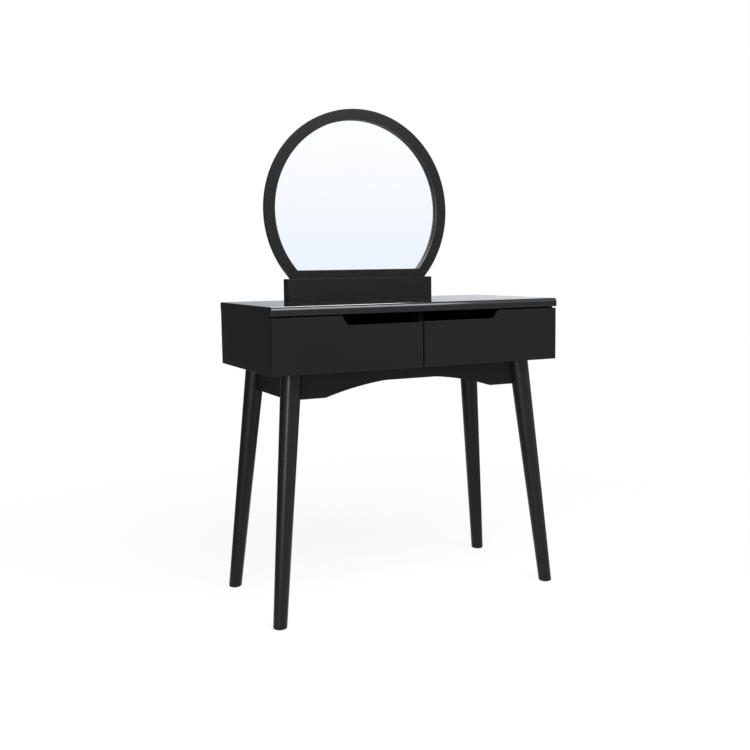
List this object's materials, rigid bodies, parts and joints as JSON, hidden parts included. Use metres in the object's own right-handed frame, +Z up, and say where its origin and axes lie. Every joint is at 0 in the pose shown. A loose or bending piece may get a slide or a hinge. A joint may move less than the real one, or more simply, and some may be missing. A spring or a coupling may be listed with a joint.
{
  "type": "vanity table with mirror",
  "caption": "Black dressing table on splayed round legs, with side-by-side drawers pulled by finger cut-outs and a fixed round framed mirror in a slotted base.",
  "frame": {"origin": "on the floor, at the middle of the table's outline", "axes": "+X to the right as seen by a person at the table, -Y towards that person, +Z up"},
  "size_m": [0.8102, 0.4, 1.2994],
  "materials": {
    "top_lacquer": "black gloss lacquer on MDF",
    "case_lacquer": "black satin lacquer on MDF",
    "frame_lacquer": "black satin lacquer on MDF",
    "leg_lacquer": "black satin lacquer on turned solid wood",
    "inner_board": "black melamine-faced board",
    "beech": "bare beech",
    "zinc": "zinc plated",
    "runner_steel": "black powder coat on pressed sheet steel",
    "nylon": "moulded black nylon",
    "roller_nylon": "moulded natural nylon",
    "mirror_silver": "silvered float glass",
    "hardboard": "bare hardboard"
  },
  "bodies": {
    "table": {"table_top": "top_lacquer", "left_side_panel": "case_lacquer", "right_side_panel": "case_lacquer", "centre_divider": "inner_board", "bottom_panel": "case_lacquer", "back_panel": "case_lacquer", "case_dowels": "beech", "cam_locks": "zinc", "cam_bolts": "zinc", "front_apron": "leg_lacquer", "back_apron": "leg_lacquer", "left_apron": "leg_lacquer", "right_apron": "leg_lacquer", "front_left_leg": "leg_lacquer", "front_right_leg": "leg_lacquer", "back_left_leg": "leg_lacquer", "back_right_leg": "leg_lacquer", "corner_blocks": "beech", "hanger_bolts": "zinc", "flange_nuts": "zinc", "block_screws": "zinc", "foot_glides": "nylon", "mirror_frame": "frame_lacquer", "mirror_glass": "mirror_silver", "mirror_backing": "hardboard", "backing_clips": "zinc", "clip_screws": "zinc", "base_front_board": "case_lacquer", "base_back_board": "case_lacquer", "base_spacer": "case_lacquer", "base_screws": "zinc", "mirror_screws": "zinc", "left_bay_runners": "runner_steel", "right_bay_runners": "runner_steel", "bay_runner_screws": "zinc"},
    "left_drawer": {"left_drawer_front": "case_lacquer", "left_drawer_outer_side": "inner_board", "left_drawer_inner_side": "inner_board", "left_drawer_back": "inner_board", "left_drawer_bottom": "inner_board", "left_drawer_outer_runner": "runner_steel", "left_drawer_inner_runner": "runner_steel", "left_drawer_dowels": "beech", "left_drawer_screws": "zinc", "left_drawer_runner_screws": "zinc"},
    "right_drawer": {"right_drawer_front": "case_lacquer", "right_drawer_outer_side": "inner_board", "right_drawer_inner_side": "inner_board", "right_drawer_back": "inner_board", "right_drawer_bottom": "inner_board", "right_drawer_outer_runner": "runner_steel", "right_drawer_inner_runner": "runner_steel", "right_drawer_dowels": "beech", "right_drawer_screws": "zinc", "right_drawer_runner_screws": "zinc"},
    "left_bay_rollers": {"left_bay_rollers": "roller_nylon"},
    "right_bay_rollers": {"right_bay_rollers": "roller_nylon"},
    "left_drawer_rollers": {"left_drawer_rollers": "roller_nylon"},
    "right_drawer_rollers": {"right_drawer_rollers": "roller_nylon"}
  },
  "joints": [
    {"name": "left_drawer_slide", "type": "slide", "parent": "table", "child": "left_drawer", "axis": [0, -1, 0], "range_m": [0, 0.26]},
    {"name": "right_drawer_slide", "type": "slide", "parent": "table", "child": "right_drawer", "axis": [0, -1, 0], "range_m": [0, 0.26]},
    {"name": "left_bay_roller_spin", "type": "hinge", "parent": "table", "child": "left_bay_rollers", "pos_m": [-0.19, -0.165, 0.6504], "axis": [1, 0, 0], "continuous": true},
    {"name": "left_drawer_roller_spin", "type": "hinge", "parent": "left_drawer", "child": "left_drawer_rollers", "pos_m": [-0.19, 0.15, 0.6479], "axis": [1, 0, 0], "continuous": true},
    {"name": "right_bay_roller_spin", "type": "hinge", "parent": "table", "child": "right_bay_rollers", "pos_m": [0.19, -0.165, 0.6504], "axis": [1, 0, 0], "continuous": true},
    {"name": "right_drawer_roller_spin", "type": "hinge", "parent": "right_drawer", "child": "right_drawer_rollers", "pos_m": [0.19, 0.15, 0.6479], "axis": [1, 0, 0], "continuous": true}
  ],
  "couplings": [
    {"joint": "left_bay_roller_spin", "follows": "left_drawer_slide", "rad_per_m": 90.909},
    {"joint": "left_drawer_roller_spin", "follows": "left_drawer_slide", "rad_per_m": 101.52},
    {"joint": "right_bay_roller_spin", "follows": "right_drawer_slide", "rad_per_m": 90.909},
    {"joint": "right_drawer_roller_spin", "follows": "right_drawer_slide", "rad_per_m": 101.52}
  ]
}
